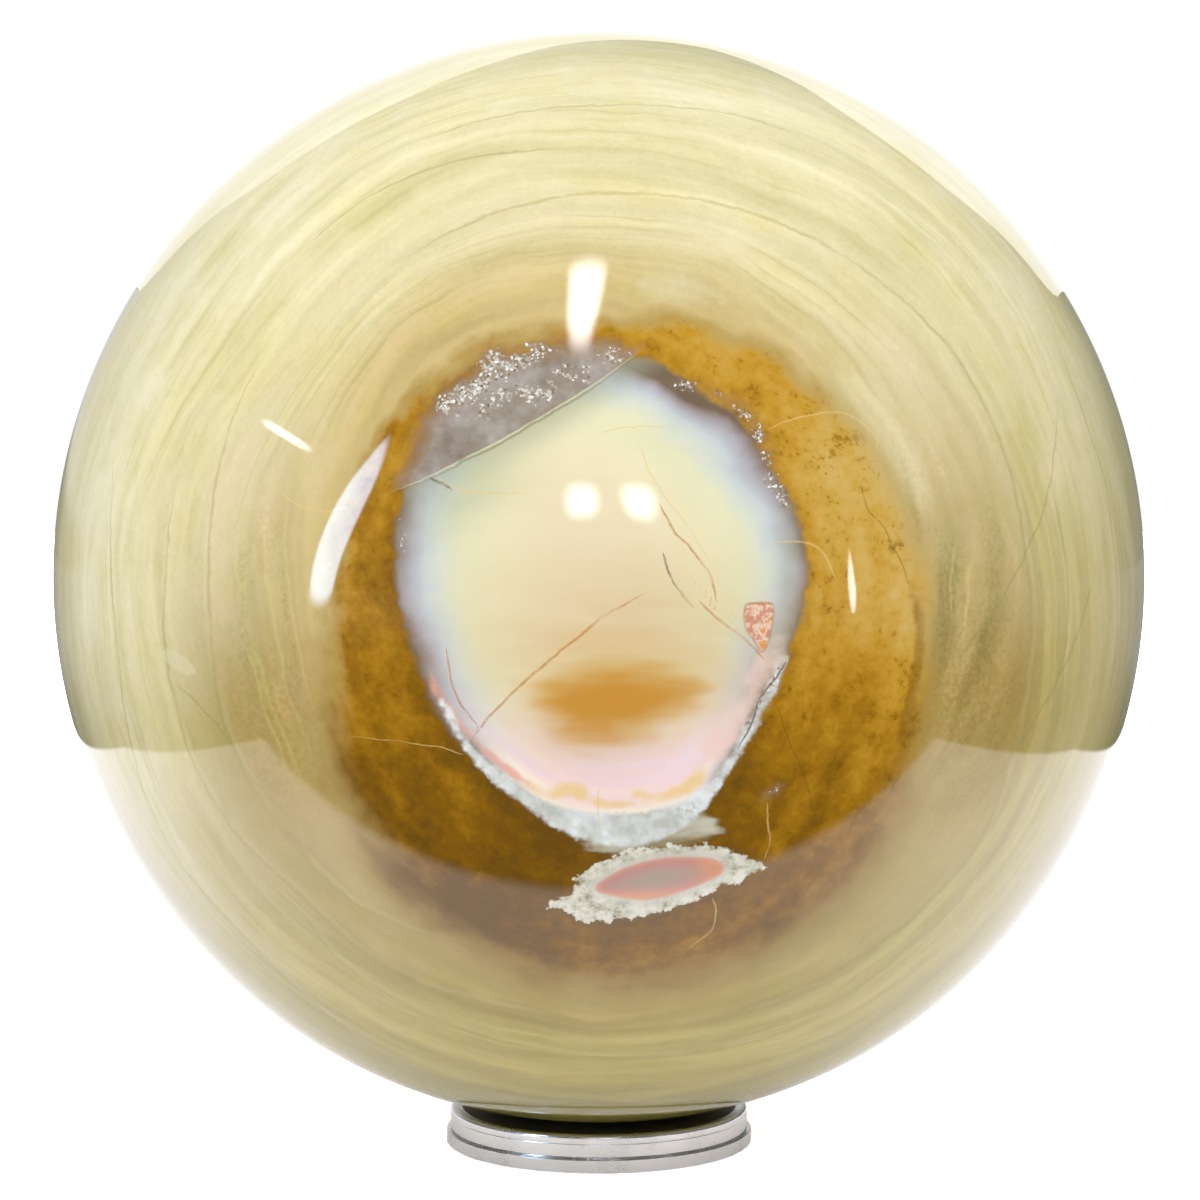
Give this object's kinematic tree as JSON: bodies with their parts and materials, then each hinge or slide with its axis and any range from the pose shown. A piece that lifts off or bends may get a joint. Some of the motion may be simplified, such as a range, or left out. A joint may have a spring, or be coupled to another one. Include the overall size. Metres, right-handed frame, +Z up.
{
  "type": "agate sphere on a ring stand",
  "caption": "Polished ball of banded agate with a pale eye in an amber halo, resting on a low polished metal ring with a rounded lip.",
  "frame": {"origin": "middle of the ring's flat underside, straight below the centre of the stone", "axes": "+Z up along the axis of the ring and the stone, the stone's pale eye faces -Y, +X to the right of the eye as seen from the front"},
  "size_m": [0.2, 0.2, 0.2053],
  "materials": {
    "agate": "polished",
    "polished_metal": "polished"
  },
  "bodies": {
    "root": {"agate_sphere": "agate", "ring_stand": "polished_metal"}
  },
  "joints": []
}
